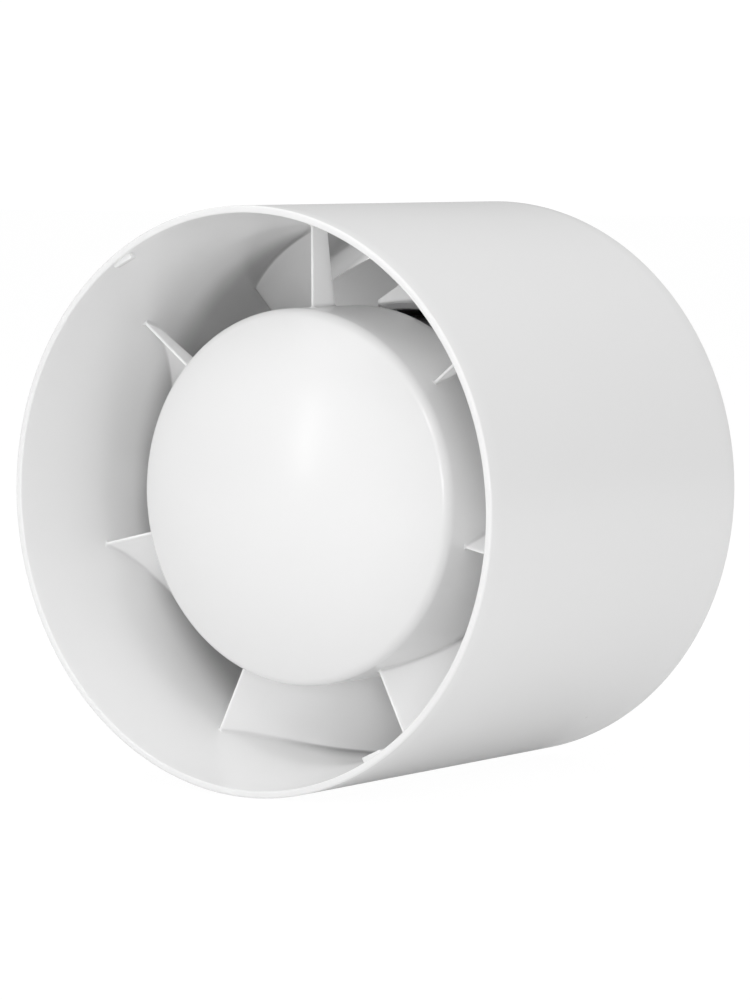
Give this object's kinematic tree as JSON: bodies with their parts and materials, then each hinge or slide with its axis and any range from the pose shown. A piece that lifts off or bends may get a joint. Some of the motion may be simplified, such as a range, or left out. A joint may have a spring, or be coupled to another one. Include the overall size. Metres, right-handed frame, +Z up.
{
  "type": "in-line duct extractor fan",
  "caption": "In-line axial duct fan: round white sleeve with a domed motor hub on curved guide vanes, and an impeller on the motor shaft behind it.",
  "frame": {"origin": "centre of the tube, on the fan's axis half way along its length", "axes": "+Y along the fan's axis from the outlet and domed hub to the inlet, +Z up with one guide vane at the top, +X to the right seen from the outlet"},
  "size_m": [0.099, 0.076, 0.099],
  "materials": {
    "white_abs": "glossy moulded white",
    "impeller_plastic": "semi-gloss moulded white",
    "black_plastic": "satin black",
    "lacquered_steel": "black lacquered laminations",
    "bright_steel": "bright",
    "cast_aluminium": "as cast",
    "brass": "turned",
    "sintered_bronze": "porous, oiled",
    "copper": "bare copper",
    "enamelled_wire": "enamelled copper wire, varnished",
    "natural_nylon": "natural nylon",
    "black_rubber": "matt",
    "grey_rubber": "matt grey",
    "felt": "oiled felt",
    "white_sheath": "soft white sheath",
    "brown_wire": "brown insulation",
    "blue_wire": "blue insulation"
  },
  "bodies": {
    "fan_body": {"bearing_retainer_front": "bright_steel", "bearing_retainer_rear": "bright_steel", "cable_gland": "black_plastic", "cable_grommet": "grey_rubber", "coil_bobbin_1": "natural_nylon", "coil_bobbin_2": "natural_nylon", "coil_bobbin_3": "natural_nylon", "coil_bobbin_4": "natural_nylon", "coil_winding_1": "enamelled_wire", "coil_winding_2": "enamelled_wire", "coil_winding_3": "enamelled_wire", "coil_winding_4": "enamelled_wire", "crimp_splice_1": "natural_nylon", "crimp_splice_2": "natural_nylon", "duct_housing": "white_abs", "felt_oil_ring_front": "felt", "felt_oil_ring_rear": "felt", "front_bearing": "sintered_bronze", "lead_wire_blue": "blue_wire", "lead_wire_brown": "brown_wire", "motor_front_shield": "black_plastic", "motor_rear_shield": "black_plastic", "motor_screw_1": "bright_steel", "motor_screw_2": "bright_steel", "motor_screw_3": "bright_steel", "motor_screw_4": "bright_steel", "rear_bearing": "sintered_bronze", "rubber_washer_1": "black_rubber", "rubber_washer_2": "black_rubber", "rubber_washer_3": "black_rubber", "rubber_washer_4": "black_rubber", "shading_ring_1": "copper", "shading_ring_2": "copper", "shading_ring_3": "copper", "shading_ring_4": "copper", "stator_core": "lacquered_steel", "supply_cable": "white_sheath", "thermal_fuse": "natural_nylon"},
    "rotor": {"impeller": "impeller_plastic", "impeller_clip": "bright_steel", "impeller_insert": "brass", "motor_shaft": "bright_steel", "rotor_core": "lacquered_steel", "rotor_end_ring_front": "cast_aluminium", "rotor_end_ring_rear": "cast_aluminium", "thrust_washer_front_inner": "natural_nylon", "thrust_washer_front_outer": "bright_steel", "thrust_washer_rear_inner": "natural_nylon", "thrust_washer_rear_outer": "bright_steel"}
  },
  "joints": [
    {"name": "rotor_spin", "type": "hinge", "parent": "fan_body", "child": "rotor", "pos_m": [0, 0, 0], "axis": [0, 1, 0], "continuous": true}
  ]
}
